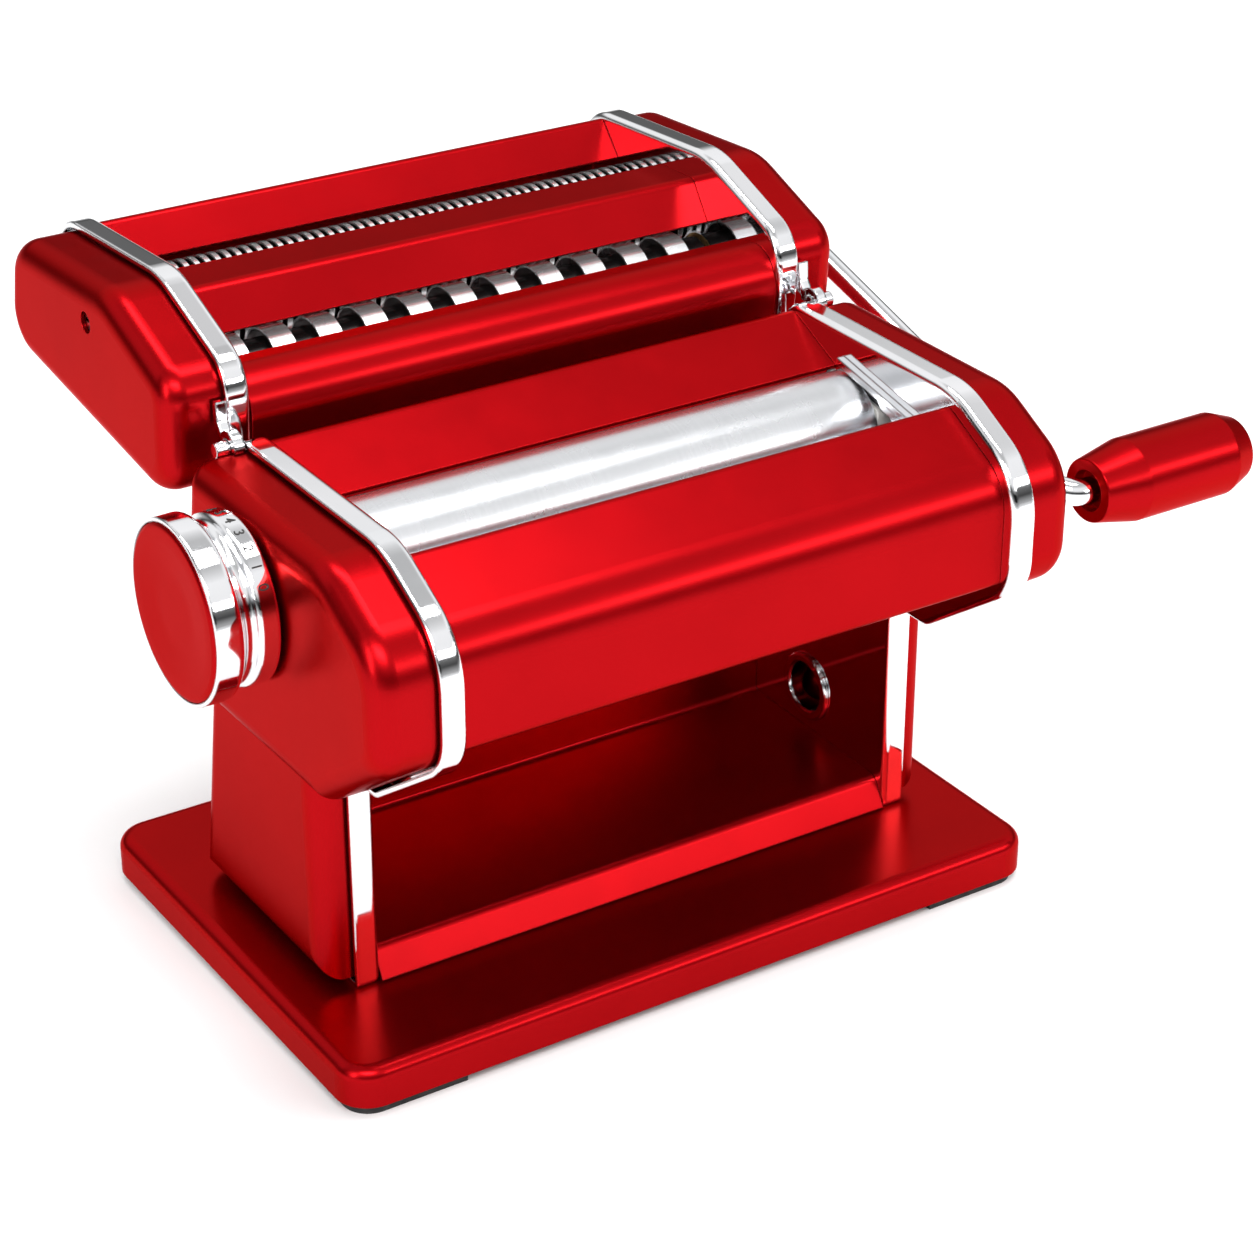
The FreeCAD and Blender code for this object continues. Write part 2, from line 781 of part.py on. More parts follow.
def scraper(label, roller, tip_angle, tail, half_length):
    """A thin blade whose edge rides just off a roller."""
    reach = size("roller_radius") + SCRAPER_GAP
    angle = math.radians(tip_angle)
    tip = (roller[0] + reach * math.cos(angle), roller[1] + reach * math.sin(angle), 0)
    end = (roller[0] + tail[0], roller[1] + tail[1], 0)
    path = [tip, end] if tail[0] < 0 else [end, tip]
    corners = bent_sheet(path, SCRAPER_WALL)
    return plate_of(label, corners, "-" + str(half_length), str(2 * half_length))


# ---------------------------------------------------------------- rollers and gears


def gear(label, centre, spacing, teeth, tip, root, tooth_width, start, width, bore, phase):
    """A spur gear with straight-sided teeth about an axis along X."""
    pitch = spacing / 2
    corners = []
    step = 2 * math.pi / teeth
    half_tip = tooth_width / 2 - (tip - pitch) * FLANK_SLOPE
    half_root = tooth_width / 2 + (pitch - root) * FLANK_SLOPE
    for tooth in range(teeth):
        middle = phase + tooth * step
        flanks = ((root, -half_root), (tip, -half_tip), (tip, half_tip), (root, half_root))
        for radius, half in flanks:
            angle = middle + math.asin(half / radius)
            corners.append((radius * math.cos(angle), radius * math.sin(angle), 0))
    body = new_body(label)
    sketch = new_sketch(body, "YZ_Plane", str(start))
    draw_outline(sketch, corners)
    draw_circle(sketch, (0, 0), bore)
    pad(body, sketch, str(width))
    body.Placement.Base = FreeCAD.Vector(0, centre[0], centre[1])
    doc.recompute()
    return body


FLANK_SLOPE = 0.26
TIP_OVERLAP = 1.0
ROOT_GAP = 0.4


def gear_pair(names, centres, closed, opened, teeth, width, place, bores):
    """Two equal gears in mesh: a tooth of the first points into a gap of the second."""
    start, length = place
    across = centres[1][0] - centres[0][0]
    up = centres[1][1] - centres[0][1]
    towards = math.atan2(up, across)
    tip = (opened + TIP_OVERLAP) / 2 if opened > closed else closed * 0.58
    root = closed - tip - ROOT_GAP
    half_step = math.pi / teeth
    gear(names[0], centres[0], closed, teeth, tip, root, width, start, length, bores[0], towards)
    gear(names[1], centres[1], closed, teeth, tip, root, width, start, length, bores[1],
         towards + math.pi + half_step)


JOURNAL_END = size("body_cover_out") - 2.0


def front_roller():
    """Solid roller, with the crank socket in its right-hand journal."""
    journal = size("journal_radius")
    half = size("roller_half")
    left_end = size("plate_inner") + 6.0
    socket = size("socket_radius")
    turned("front_roller", [
        (-left_end, 0, 0),
        (-left_end, journal, 0),
        (-half, journal, 0),
        (-half, size("roller_radius"), 0),
        (half, size("roller_radius"), 0),
        (half, journal, 0),
        (JOURNAL_END, journal, 0),
        (JOURNAL_END, socket, 0),
        (JOURNAL_END - size("socket_depth"), socket, 0),
        (JOURNAL_END - size("socket_depth"), 0, 0),
    ], FRONT_ROLLER)


def rear_roller():
    """Hollow roller that the adjuster shaft runs through."""
    half = size("roller_half")
    hub = size("hub_radius")
    bore = size("hub_bore")
    left_end = size("gear_start")
    right_end = size("gear_start") + size("gear_width")
    turned("rear_roller", [
        (-left_end, bore, 0),
        (-left_end, hub, 0),
        (-half, hub, 0),
        (-half, size("roller_radius"), 0),
        (half, size("roller_radius"), 0),
        (half, hub, 0),
        (right_end, hub, 0),
        (right_end, bore, 0),
    ], REAR_ROLLER)


def roller_gears():
    gear_pair(
        ("front_roller_gear", "rear_roller_gear"),
        (FRONT_ROLLER, REAR_ROLLER),
        CENTRE_DISTANCE_CLOSED,
        CENTRE_DISTANCE_OPEN,
        int(size("roller_teeth")),
        size("roller_tooth_width"),
        (size("gear_start"), size("gear_width")),
        (size("journal_radius"), size("hub_radius")),
    )


BLOCK_INNER = size("plate_inner") - 0.7
BLOCK_OUTER = size("plate_inner") + 5.0


def roller_blocks():
    """Bearing blocks that carry the rear roller and slide in the frames' windows."""
    for side in (LEFT, RIGHT):
        corners = block_outline(BLOCK_ALONG, BLOCK_ALONG, BLOCK_DOWN, BLOCK_UP, 1.8)
        sign = "" if side == RIGHT else "-"
        bore = size("hub_radius") + size("running_fit")
        plate_of(SIDE_NAMES[side] + "_roller_block", corners, sign + str(BLOCK_INNER),
                 str(BLOCK_OUTER - BLOCK_INNER), side, [(REAR_ROLLER, bore)])


# ---------------------------------------------------------------- adjuster and knob

HALF_SWING = math.radians(size("adjuster_swing") / 2)
LOBE_OFFSET = TRAVEL / 2 / math.sin(HALF_SWING)
LOBE_START = size("roller_half") - 9.0
LOBE_WIDTH = 8.0
BRACKET_WALL = 2.0
RIGHT_BRACKET = size("plate_inner") + 15.5
LEFT_BRACKET = size("plate_inner") + 8.0
KNOB_SPRING_RADIUS = 5.3
KNOB_SPRING_WIRE = 0.8
SHAFT_HEAD_START = KNOB_OUTER_END + 3.4
SHAFT_HEAD_WIDTH = 1.4
SHAFT_HEAD_RADIUS = 6.4
SPRING_SEAT = size("knob_inner_end") - 6.0


def adjuster_shaft():
    """The knob's shaft: a head for the spring, and an off-centre lobe near each roller end."""
    end = RIGHT_BRACKET + BRACKET_WALL + 0.5
    radius = size("adjuster_radius")
    body = turned("adjuster_shaft", [
        (SHAFT_HEAD_START, 0, 0),
        (SHAFT_HEAD_START, SHAFT_HEAD_RADIUS, 0.4),
        (SHAFT_HEAD_START + SHAFT_HEAD_WIDTH, SHAFT_HEAD_RADIUS, 0),
        (SHAFT_HEAD_START + SHAFT_HEAD_WIDTH, radius, 0),
        (end, radius, 0),
        (end, 0, 0),
    ], ADJUSTER)
    side_step = LOBE_OFFSET * math.sin(HALF_SWING)
    lift = LOBE_OFFSET * math.cos(HALF_SWING)
    centre = (
        -side_step * PAIR_Y + lift * PAIR_Z,
        -side_step * PAIR_Z - lift * PAIR_Y,
    )
    for side in (LEFT, RIGHT):
        sign = "" if side == RIGHT else "-"
        sketch = new_sketch(body, "YZ_Plane", sign + str(LOBE_START))
        draw_circle(sketch, centre, size("lobe_radius"))
        pad(body, sketch, str(LOBE_WIDTH), side)


def adjuster_brackets():
    """Plates on posts that hold the ends of the adjuster shaft."""
    corners = [
        (ADJUSTER[0] - 17.0, ADJUSTER[1] + 8.4, 5.0),
        (ADJUSTER[0] + 25.66, ADJUSTER[1] + 13.22, 3.8),
        (ADJUSTER[0] + 15.0, ADJUSTER[1] - 33.0, 4.0),
    ]
    bore = size("adjuster_radius") + size("running_fit")
    for side, start in ((LEFT, LEFT_BRACKET), (RIGHT, RIGHT_BRACKET)):
        sign = "" if side == RIGHT else "-"
        holes = [(ADJUSTER, bore)]
        for post in BRACKET_POSTS:
            holes.append((post, ROD_END_RADIUS + HOLE_FIT))
        plate_of(SIDE_NAMES[side] + "_adjuster_bracket", corners, sign + str(start),
                 str(BRACKET_WALL), side, holes)


def bracket_posts():
    """Shouldered posts between the side frames and the adjuster brackets."""
    members = []
    inner = size("plate_inner") + size("plate_wall")
    for side, start in ((LEFT, LEFT_BRACKET), (RIGHT, RIGHT_BRACKET)):
        for place in BRACKET_POSTS:
            low = inner if side == RIGHT else -start
            post = rod_along_x("post", low, str(start - inner), place, str(ROD_RADIUS + 0.5))
            low = inner - size("plate_wall") if side == RIGHT else -start - BRACKET_WALL
            length = start + BRACKET_WALL - inner + size("plate_wall")
            ends = rod_along_x("post_ends", low, str(length), place, str(ROD_END_RADIUS))
            joined = doc.addObject("Part::Fuse", "bracket_post")
            joined.Base = post
            joined.Tool = ends
            members.append(joined)
    group("bracket_posts", members)


def index_pin():
    start = -(size("body_cover_out") - size("cover_wall"))
    length = size("cover_wall") + 4.0
    pin = rod_along_x("pin", start - length, str(length), INDEX_PIN, str(INDEX_PIN_RADIUS))
    group("index_pin", [pin])


CAP_RADIUS_STEP = 1.0
CAP_WALL = 2.4
CAP_DISH = 0.7
CAP_RIM = 0.84
CAP_DISH_FLOOR = 0.42


def knob_body():
    """Chromed knob: a collar next to the cover, a waist and a wide rim round the cap."""
    inner = size("knob_inner_end")
    outer = KNOB_OUTER_END + 0.5
    rim = size("knob_radius")
    collar = size("collar_radius")
    shaft = size("adjuster_radius") + size("running_fit")
    spring_room = SHAFT_HEAD_RADIUS + 0.6
    groove = INDEX_PIN_RADIUS + 0.5
    cap = rim - CAP_RADIUS_STEP
    floor = outer + CAP_WALL - 0.4
    turned("knob_body", [
        (inner, shaft, 0),
        (inner, INDEX_CIRCLE - groove, 0),
        (inner - 5.5, INDEX_CIRCLE - groove, 0),
        (inner - 5.5, INDEX_CIRCLE + groove, 0),
        (inner, INDEX_CIRCLE + groove, 0),
        (inner, collar, 1.0),
        (inner - 5.2, collar, 1.2),
        (inner - 6.2, collar - 1.6, 1.0),
        (inner - 8.2, collar - 1.6, 1.5),
        (inner - 10.4, rim, 1.8),
        (outer, rim, 0.4),
        (outer, cap, 0),
        (floor, cap, 0),
        (floor, spring_room, 0),
        (SPRING_SEAT, spring_room, 0),
        (SPRING_SEAT, shaft, 0),
    ], ADJUSTER)


def knob_cap():
    """Red disc with a shallow dished face."""
    outer = KNOB_OUTER_END
    radius = size("knob_radius") - CAP_RADIUS_STEP - 0.15
    turned("knob_cap", [
        (outer + CAP_WALL, 0, 0),
        (outer + CAP_WALL, radius, 0),
        (outer + 0.6, radius, 0),
        (outer, radius - 0.8, 1.5),
        (outer, radius * CAP_RIM, 30.0),
        (outer + CAP_DISH, radius * CAP_DISH_FLOOR, 50.0),
        (outer + CAP_DISH, 0, 0),
    ], ADJUSTER)


def knob_spring():
    """The spring that pulls the knob in, between the knob and the head of the shaft."""
    turns = 3
    length = SPRING_SEAT - SHAFT_HEAD_START - SHAFT_HEAD_WIDTH - KNOB_SPRING_WIRE - 0.4
    helix = Part.makeHelix(length / turns, length, KNOB_SPRING_RADIUS)
    start = FreeCAD.Vector(KNOB_SPRING_RADIUS, 0, 0)
    wire = Part.Wire([Part.makeCircle(KNOB_SPRING_WIRE / 2, start, FreeCAD.Vector(0, 1, 0))])
    coil = Part.Wire(helix.Edges).makePipeShell([wire], True, True)
    spring = doc.addObject("Part::Feature", "knob_spring")
    spring.Label = "knob_spring"
    spring.Shape = coil
    turn = FreeCAD.Rotation(FreeCAD.Vector(0, 1, 0), -90)
    end = SPRING_SEAT - KNOB_SPRING_WIRE / 2 - 0.2
    corner = FreeCAD.Vector(end, ADJUSTER[0], ADJUSTER[1])
    spring.Placement = FreeCAD.Placement(corner, turn)
    parts.append(spring)


# ---------------------------------------------------------------- hanging the cutter head

PEG = (size("body_rear_top") - 1.2, size("body_top") - 2.0)
PEG_RADIUS = 2.0
PEG_LENGTH = 6.5
HOOK_WALL = 3.0
HOOK_RIM = 1.8
HOOK_GAP = 0.3
HEAD_FACE = size("head_front")
# corners of a hook's stem: (from the peg or the head's face, above the peg)
STEM_AT_PEG = [(2.6, 1.9), (3.6, 0.4)]
STEM_AT_HEAD = [(2.4, 3.2), (2.4, 9.5), (0.6, 9.5), (0.3, 4.8)]


def hanger_pegs():
    """Chromed pegs on the frames' rear corners that the cutter head hangs from."""
    members = []
    inner = size("plate_inner") + size("rim_reach")
    for side in (LEFT, RIGHT):
        low = inner if side == RIGHT else -inner - PEG_LENGTH
        members.append(rod_along_x("peg", low, str(PEG_LENGTH), PEG, str(PEG_RADIUS)))
    group("hanger_pegs", members)


def corner_box(low, across, up, width):
    """A box along X whose other two sides are far larger than a hook, to trim it with."""
    reach = 20.0
    return Part.makeBox(width, reach, reach, FreeCAD.Vector(low, across, up))


def hook(side, frame_edge):
    """Half a ring over the peg, and a stem from it up to the head's face."""
    gap_low = frame_edge if side == RIGHT else -frame_edge - HOOK_GAP
    low = frame_edge if side == RIGHT else -frame_edge - HOOK_WALL
    ring_low = low + HOOK_GAP if side == RIGHT else low
    base = FreeCAD.Vector(ring_low, PEG[0], PEG[1])
    along = FreeCAD.Vector(1, 0, 0)
    width = HOOK_WALL - HOOK_GAP
    bore = PEG_RADIUS + HOOK_GAP
    ring = Part.makeCylinder(bore + HOOK_RIM, width, base, along)
    ring = ring.cut(Part.makeCylinder(bore, width, base, along))
    ring = ring.cut(corner_box(ring_low, PEG[0] - 10.0, PEG[1] - 20.2, width))
    corners = [(PEG[0] + out, PEG[1] + up) for out, up in STEM_AT_PEG]
    corners += [(HEAD_FACE + out, PEG[1] + up) for out, up in STEM_AT_HEAD]
    points = [FreeCAD.Vector(low, across, up) for across, up in corners]
    stem = Part.Face(Part.makePolygon(points + points[:1])).extrude(along * HOOK_WALL)
    stem = stem.cut(corner_box(gap_low, HEAD_FACE - 19.6, PEG[1] - 10.0, HOOK_GAP))
    return ring.fuse(stem).removeSplitter()


def hanger_hooks():
    """Hooks on the cutter head's frames that rest over the pegs."""
    frame_edge = size("plate_inner") + size("rim_reach")
    hooks = doc.addObject("Part::Feature", "hanger_hooks")
    hooks.Label = "hanger_hooks"
    hooks.Shape = Part.makeCompound([hook(side, frame_edge) for side in (LEFT, RIGHT)])
    hooks.Placement = FreeCAD.Placement()
    parts.append(hooks)


# ---------------------------------------------------------------- cutter head

CUTTER_AXES = [WIDE_FRONT, WIDE_REAR, NARROW_FRONT, NARROW_REAR]
BUSH_OUTER = 8.3


def head_frame(side):
    label = SIDE_NAMES[side] + "_head_frame"
    face = side * size("plate_inner")
    edge = side * (size("plate_inner") + size("rim_reach"))
    sign = "" if side == RIGHT else "-"
    body = new_body(label)
    sketch = new_sketch(body, "YZ_Plane", sign + "Sizes.plate_inner")
    draw_outline(sketch, HEAD_OUTLINE)
    pad(body, sketch, "Sizes.rim_reach", side)
    round_edges(body, "Sizes.plate_wall + Sizes.rim_edge_round", lambda e: lies_at_x(e, face))
    round_edges(body, "Sizes.rim_edge_round", lambda e: lies_at_x(e, edge))
    sketch = new_sketch(body, "YZ_Plane", sign + "(Sizes.plate_inner + Sizes.rim_reach)")
    draw_outline(sketch, inset(HEAD_OUTLINE, size("rim_wall")))
    pocket(body, sketch, "Sizes.rim_reach - Sizes.plate_wall", -side)
    sketch = new_sketch(body, "YZ_Plane", sign + "Sizes.plate_inner")
    for centre in HEAD_RODS:
        draw_circle(sketch, centre, ROD_END_RADIUS + HOLE_FIT)
    for centre in CUTTER_AXES:
        draw_circle(sketch, centre, BUSH_OUTER)
    pocket(body, sketch, "2 * Sizes.plate_wall", side)


def head_cover(side):
    label = SIDE_NAMES[side] + "_head_cover"
    sign = "" if side == RIGHT else "-"
    outline = inset(HEAD_OUTLINE, size("cover_inset"))
    outer = side * size("head_cover_out")
    body = new_body(label)
    sketch = new_sketch(body, "YZ_Plane", sign + "Sizes.cover_seat")
    draw_outline(sketch, outline)
    pad(body, sketch, "Sizes.head_cover_out - Sizes.cover_seat", side)
    round_edges(body, "Sizes.cover_round", lambda e: lies_at_x(e, outer))
    hollow(body, outline, sign + "Sizes.cover_seat", "Sizes.head_cover_out")
    sketch = new_sketch(body, "YZ_Plane", sign + "Sizes.head_cover_out")
    draw_circle(sketch, HEAD_RODS[0], COVER_SCREW_RADIUS + 0.3)
    if side == RIGHT:
        for centre in (WIDE_REAR, NARROW_REAR):
            draw_circle(sketch, centre, size("cutter_journal") + 1.5)
    pocket(body, sketch, "2 * Sizes.cover_wall", -side)


COVER_SCREW_RADIUS = 2.5
COVER_SCREW_END = size("head_cover_out") - 1.2
COVER_SCREW_START = size("plate_inner") + 6.5


def head_cover_screws():
    """Slotted screws sunk in the head's covers, on the ends of the upper tie rod."""
    members = []
    length = COVER_SCREW_END - COVER_SCREW_START
    for side in (LEFT, RIGHT):
        low = COVER_SCREW_START if side == RIGHT else -COVER_SCREW_END
        shank = rod_along_x("screw", low, str(length), HEAD_RODS[0], str(COVER_SCREW_RADIUS))
        slot = doc.addObject("Part::Box", "screw_slot")
        slot.Length = 1.4
        slot.Width = 4 * COVER_SCREW_RADIUS
        slot.Height = 0.9
        across = COVER_SCREW_END - 1.2 if side == RIGHT else -COVER_SCREW_END - 0.2
        slot.Placement.Base = FreeCAD.Vector(
            across, HEAD_RODS[0][0] - 2 * COVER_SCREW_RADIUS, HEAD_RODS[0][1] - 0.45)
        members.append(cut("cover_screw", shank, slot))
    group("head_cover_screws", members)


def head_panels():
    """Front, middle and rear panels that guide the sheet into the cutters."""
    front = HEAD_FACE
    top = size("head_top")
    panel("head_front_panel", [
        (front + 18.2, top - 21.0, 0),
        (front + 17.6, top - 19.1, 1.3),
        (front + 1.2, top - 17.3, 8.5),
        (front + 4.6, top - 46.0, 3.0),
        (front + 11.5, top - 46.9, 0),
    ][::-1])
    panel("head_middle_panel", [
        (front + 57.2, top - 14.0, 0),
        (front + 56.8, top - 9.9, 1.8),
        (front + 40.9, top - 9.5, 1.8),
        (front + 34.2, top - 19.0, 0),
    ][::-1])
    panel("head_rear_panel", [
        (front + 77.4, top - 13.2, 0),
        (front + 85.2, top - 4.4, 1.6),
        (front + 88.0, top - 5.0, 2.5),
        (front + 95.5, top - 36.0, 3.0),
        (front + 90.0, top - 40.0, 0),
    ][::-1])


def cutter(label, centre, radius, strip, offset, right_end, socket):
    """A shaft with discs one strip wide and grooves one strip wide between them."""
    half = size("cutter_half")
    core = radius - size("cutter_depth")
    journal = size("cutter_journal")
    side_gap = size("running_fit")
    left_end = size("plate_inner") + 14.0
    profile = [(-left_end, 0, 0), (-left_end, journal, 0), (-half, journal, 0)]
    count = int(half / strip) + 2
    for number in range(-count, count + 1):
        start = (2 * number + offset - 0.5) * strip + side_gap
        end = start + strip - 2 * side_gap
        start = max(start, -half)
        end = min(end, half)
        if end - start > strip / 4:
            if start > -half:
                profile.append((start, core, 0))
            profile.append((start, radius, 0))
            profile.append((end, radius, 0))
            if end < half:
                profile.append((end, core, 0))
    if profile[3][1] == core:
        profile.insert(3, (-half, core, 0))
    if profile[-1][1] == core:
        profile.append((half, core, 0))
    profile.append((half, journal, 0))
    profile.append((right_end, journal, 0))
    if socket:
        floor = right_end - size("socket_depth")
        inner = size("socket_radius")
        profile += [(right_end, inner, 0), (floor, inner, 0), (floor, 0, 0)]
    else:
        profile.append((right_end, 0, 0))
    turned(label, profile, centre)


def cutters():
    plain_end = size("plate_inner") + 14.0
    wide = (size("wide_radius"), size("wide_strip"))
    narrow = (size("narrow_radius"), size("narrow_strip"))
    cutter("wide_cutter_front", WIDE_FRONT, *wide, 1, plain_end, False)
    cutter("wide_cutter_rear", WIDE_REAR, *wide, 0, JOURNAL_END, True)
    cutter("narrow_cutter_front", NARROW_FRONT, *narrow, 1, plain_end, False)
    cutter("narrow_cutter_rear", NARROW_REAR, *narrow, 0, JOURNAL_END, True)


CUTTER_GEAR_WIDTH = size("gear_width") - 1.0


def cutter_gears():
    """The wide pair's gears are on the right, the narrow pair's on the left."""
    journal = size("cutter_journal")
    wide = ("wide_gear_front", "wide_gear_rear"), (WIDE_FRONT, WIDE_REAR), size("wide_spacing")
    narrow = ("narrow_gear_front", "narrow_gear_rear"), (NARROW_FRONT, NARROW_REAR), size("narrow_spacing")
    right_start = size("gear_start")
    left_start = -right_start - CUTTER_GEAR_WIDTH
    for (names, centres, spacing), start in ((wide, right_start), (narrow, left_start)):
        gear_pair(names, centres, spacing, spacing, int(size("cutter_teeth")),
                  size("cutter_tooth_width"), (start, CUTTER_GEAR_WIDTH), (journal, journal))


COMB_OUTER = 1.7
COMB_GAP = 0.35


def ring_sector(start, length, centre, inner, outer, angles):
    """Part of a ring about an axis along X, between two angles in degrees."""
    along = FreeCAD.Vector(1, 0, 0)
    sweep = angles[1] - angles[0]
    whole = Part.makeCylinder(outer, length, FreeCAD.Vector(), FreeCAD.Vector(0, 0, 1), sweep)
    hollow_part = Part.makeCylinder(inner, length, FreeCAD.Vector(), FreeCAD.Vector(0, 0, 1), sweep)
    sector = whole.cut(hollow_part)
    lying = FreeCAD.Rotation(FreeCAD.Vector(0, 1, 0), FreeCAD.Vector(0, 0, 1), along, "ZXY")
    turn = FreeCAD.Rotation(along, angles[0])
    sector.Placement = FreeCAD.Placement(FreeCAD.Vector(start, *centre), turn.multiply(lying))
    return sector


# where a front cutter's comb lies, in degrees about its axis; a rear one is its mirror image
COMB_BAR = (-112, -72)
COMB_FINGERS = (-92, -38)
FINGER_SHARE = 0.6
COMB_BAR_EXTRA = 0.6


def mirrored(angles):
    """The same stretch on the other side of the vertical."""
    return (-180 - angles[1], -180 - angles[0])


def comb(centre, radius, strip, offset, bar_angles, finger_angles):
    """A bar along the cutter with a finger in each groove; offset is 1 where discs are odd."""
    half = size("plate_inner")
    outer = radius + COMB_OUTER
    core = radius - size("cutter_depth") + COMB_GAP
    finger = strip * FINGER_SHARE
    bar = ring_sector(-half, 2 * half, centre, radius + COMB_GAP, outer + COMB_BAR_EXTRA, bar_angles)
    fingers = []
    count = int(size("cutter_half") / strip / 2) + 1
    for number in range(-count, count + 1):
        middle = (2 * number + offset) * strip
        if abs(middle) + finger / 2 < size("cutter_half") - strip / 2:
            start = middle - finger / 2
            fingers.append(ring_sector(start, finger, centre, core, outer, finger_angles))
    return bar.multiFuse(fingers).removeSplitter()


def combs(label, pair, radius, strip):
    """Combs whose fingers reach into the grooves under each cutter and strip the pasta out."""
    front = comb(pair[0], radius, strip, 0, COMB_BAR, COMB_FINGERS)
    rear = comb(pair[1], radius, strip, 1, mirrored(COMB_BAR), mirrored(COMB_FINGERS))
    feature = doc.addObject("Part::Feature", label)
    feature.Label = label
    feature.Shape = Part.makeCompound([front, rear])
    feature.Placement = FreeCAD.Placement()
    parts.append(feature)


# ---------------------------------------------------------------- crank

SPIGOT_INNER = JOURNAL_END - size("socket_depth") + 1.0
SPIGOT_COLLAR = size("head_cover_out") + 0.7
SPIGOT_OUTER = SPIGOT_COLLAR + 2.8


def crank_spigot():
    """The sleeve that plugs into a socket, with a collar against the cover."""
    rod = size("crank_rod")
    sleeve = size("socket_radius") - size("running_fit")
    turned("crank_spigot", [
        (SPIGOT_INNER, rod, 0),
        (SPIGOT_INNER, sleeve, 0.4),
        (SPIGOT_COLLAR, sleeve, 0),
        (SPIGOT_COLLAR, sleeve + 2.2, 0.6),
        (SPIGOT_OUTER, sleeve + 2.2, 0.8),
        (SPIGOT_OUTER, rod, 0),
    ], WIDE_REAR)


CRANK_ROD_END = size("grip_start") + 35.0


def crank_rod():
    """One bar bent twice: out of the socket, down the arm and out through the grip."""
    body = new_body("crank_rod")
    path = new_sketch(body, "XY_Plane")
    plane = size("crank_plane")
    reach = size("crank_reach")
    bend = size("crank_bend")
    slant = math.sin(math.radians(45))
    inner_corner = bend * (1 - slant)
    ends = [
        (SPIGOT_INNER + 0.5, 0), (plane - bend, 0),
        (plane, bend), (plane, reach - bend),
        (plane + bend, reach), (CRANK_ROD_END, reach),
    ]
    middles = [(plane - inner_corner, inner_corner), (plane + inner_corner, reach - inner_corner)]
    points = [FreeCAD.Vector(x, y, 0) for x, y in ends]
    for start, end in ((0, 1), (2, 3), (4, 5)):
        path.addGeometry(Part.LineSegment(points[start], points[end]), False)
    for start, middle in ((1, middles[0]), (3, middles[1])):
        through = FreeCAD.Vector(middle[0], middle[1], 0)
        path.addGeometry(Part.Arc(points[start], through, points[start + 1]), False)
    section = new_sketch(body, "YZ_Plane", str(SPIGOT_INNER + 0.5))
    draw_circle(section, (0, 0), size("crank_rod"))
    doc.recompute()
    pipe = body.newObject("PartDesign::AdditivePipe", "crank_rod_pipe")
    pipe.Profile = section
    pipe.Spine = (path, ["Edge%d" % (number + 1) for number in range(5)])
    turn = FreeCAD.Rotation(FreeCAD.Vector(1, 0, 0), size("crank_angle"))
    base = FreeCAD.Vector(0, WIDE_REAR[0], WIDE_REAR[1])
    body.Placement = FreeCAD.Placement(base, turn)
    doc.recompute()


CRANK_TURN = math.radians(size("crank_angle"))
GRIP_AXIS = (
    WIDE_REAR[0] + size("crank_reach") * math.cos(CRANK_TURN),
    WIDE_REAR[1] + size("crank_reach") * math.sin(CRANK_TURN),
)
RETAINER_START = CRANK_ROD_END - 4.0
RETAINER_WIDTH = 2.0


def crank_grip():
    """Turned grip: a cone, a long barrel and a chamfered closed end."""
    start = size("grip_start")
    big = size("grip_radius")
    small = size("grip_small_radius")
    bore = size("crank_rod") + size("running_fit") + 0.05
    turned("crank_grip", [
        (start, bore + 1.9, 0),
        (start, small, 0.5),
        (start + 12.5, big, 3.0),
        (GRIP_END - 7.0, big, 1.5),
        (GRIP_END, big - 2.6, 1.2),
        (GRIP_END, 0, 0),
        (RETAINER_START + 7.0, 0, 0),
        (RETAINER_START + 7.0, bore + 2.6, 0),
        (RETAINER_START - 0.8, bore + 2.6, 0),
        (RETAINER_START - 0.8, bore, 0),
        (start + 3.5, bore, 0),
        (start + 3.5, bore + 1.9, 0),
    ], GRIP_AXIS)


def grip_retainer():
    """Clip ring on the end of the rod that keeps the grip on."""
    rod = size("crank_rod")
    end = RETAINER_START + RETAINER_WIDTH
    turned("grip_retainer", ring_profile(RETAINER_START, end, rod, rod + 2.0), GRIP_AXIS)


# ---------------------------------------------------------------- build everything


